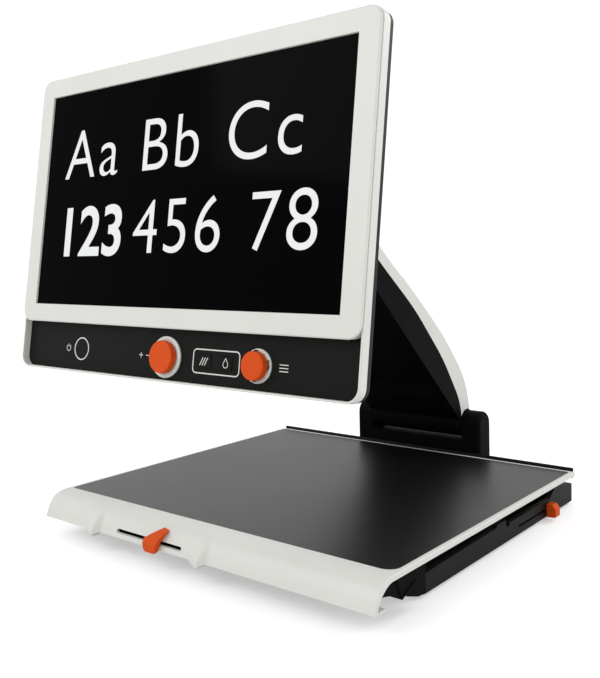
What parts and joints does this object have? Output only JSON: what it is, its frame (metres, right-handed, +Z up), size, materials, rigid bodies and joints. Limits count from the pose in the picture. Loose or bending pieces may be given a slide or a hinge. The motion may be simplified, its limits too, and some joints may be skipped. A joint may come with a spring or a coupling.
{
  "type": "low vision magnifier",
  "caption": "Folding desktop video magnifier: sliding reading table, camera arm, tilting flat screen with two knobs, a power button and two keys.",
  "frame": {"origin": "on the desk under the middle of the reading table, on the plane of symmetry", "axes": "+X to the reader's right, the reader sits on the -Y side, +Z up"},
  "size_m": [0.422, 0.4766, 0.4816],
  "materials": {
    "white_shell": "satin, fine moulded grain",
    "black_shell": "dark charcoal, fine texture",
    "cover_shell": "dark grey, fine texture",
    "control_black": "satin black",
    "orange_plastic": "satin orange",
    "reading_field": "semi-gloss black",
    "screen": "gloss black glass",
    "display_metal": "satin",
    "steel": "ground",
    "bronze": "sintered bronze",
    "black_metal": "powder coated",
    "foot_rubber": "matt",
    "screw_steel": "black oxide",
    "circuit": "solder mask",
    "battery": "shrink sleeve",
    "lens": "coated",
    "lamp": "diffuser"
  },
  "bodies": {
    "base": {"base_tray": "black_shell", "base_floor": "black_metal", "rubber_feet": "foot_rubber", "floor_screws": "screw_steel", "y_rails": "steel", "rear_deck": "black_shell", "hinge_housing": "black_shell", "power_inlet": "black_shell", "hinge_shaft": "steel", "hinge_spring": "steel", "power_board": "circuit", "battery_pack": "battery"},
    "carriage": {"carriage_plate": "black_metal", "y_bushes": "bronze", "x_rails": "steel"},
    "table": {"table_plate": "white_shell", "reading_surface": "reading_field", "rear_strip": "black_shell", "table_ribs": "black_shell", "lock_guide": "black_shell", "x_bushes": "bronze"},
    "front_lock": {"front_lever": "orange_plastic"},
    "side_lock": {"side_lever": "orange_plastic"},
    "arm": {"arm_rear_shell": "white_shell", "arm_front_shell": "black_shell", "arm_spine": "black_metal", "elbow_shaft": "steel", "camera_module": "black_shell", "camera_lens": "lens", "camera_bracket": "black_metal", "led_bars": "lamp", "lamp_bridge": "black_metal"},
    "neck": {"neck_links": "black_metal", "tilt_pin": "steel", "tilt_block": "black_metal"},
    "monitor": {"front_bezel": "white_shell", "housing_rim": "white_shell", "rear_cover": "cover_shell", "cover_screws": "screw_steel", "control_panel": "control_black", "switch_frame": "white_shell", "power_ring": "white_shell", "zoom_collar": "white_shell", "function_collar": "white_shell", "knob_encoders": "circuit", "screen_glass": "screen", "lcd_module": "display_metal", "panel_frame": "display_metal", "main_board": "circuit", "control_board": "circuit", "tilt_bracket": "black_metal"},
    "zoom_dial": {"zoom_knob": "orange_plastic"},
    "function_dial": {"function_knob": "orange_plastic"},
    "power_key": {"power_button": "control_black"},
    "line_key": {"line_button": "control_black"},
    "light_key": {"light_button": "control_black"}
  },
  "joints": [
    {"name": "carriage_slide", "type": "slide", "parent": "base", "child": "carriage", "axis": [0, 1, 0], "range_m": [-0.13, 0.004]},
    {"name": "table_slide", "type": "slide", "parent": "carriage", "child": "table", "axis": [1, 0, 0], "range_m": [-0.0875, 0.0875]},
    {"name": "front_lock_slide", "type": "slide", "parent": "table", "child": "front_lock", "axis": [1, 0, 0], "range_m": [-0.05, 0.03]},
    {"name": "side_lock_slide", "type": "slide", "parent": "base", "child": "side_lock", "axis": [0, 1, 0], "range_m": [-0.07, 0.007]},
    {"name": "arm_fold", "type": "hinge", "parent": "base", "child": "arm", "pos_m": [0, 0.214, 0.079], "axis": [1, 0, 0], "range_deg": [0, 20]},
    {"name": "neck_fold", "type": "hinge", "parent": "arm", "child": "neck", "pos_m": [0, -0.084, 0.368], "axis": [1, 0, 0], "range_deg": [-5, 119]},
    {"name": "monitor_level", "type": "hinge", "parent": "neck", "child": "monitor", "pos_m": [0, -0.16792, 0.34892], "axis": [1, 0, 0], "range_deg": [-64, 3]},
    {"name": "zoom_turn", "type": "hinge", "parent": "monitor", "child": "zoom_dial", "pos_m": [-0.001, -0.23589, 0.20709], "axis": [0, -0.9888, 0.1495], "continuous": true},
    {"name": "function_turn", "type": "hinge", "parent": "monitor", "child": "function_dial", "pos_m": [0.1071, -0.23595, 0.2067], "axis": [0, -0.9888, 0.1495], "continuous": true},
    {"name": "power_press", "type": "slide", "parent": "monitor", "child": "power_key", "axis": [0, 0.9888, -0.1495], "range_m": [0, 0.001]},
    {"name": "line_press", "type": "slide", "parent": "monitor", "child": "line_key", "axis": [0, 0.9888, -0.1495], "range_m": [0, 0.0012]},
    {"name": "light_press", "type": "slide", "parent": "monitor", "child": "light_key", "axis": [0, 0.9888, -0.1495], "range_m": [0, 0.0012]}
  ],
  "couplings": [
    {"joint": "monitor_level", "follows": "neck_fold", "ratio": -0.532}
  ]
}
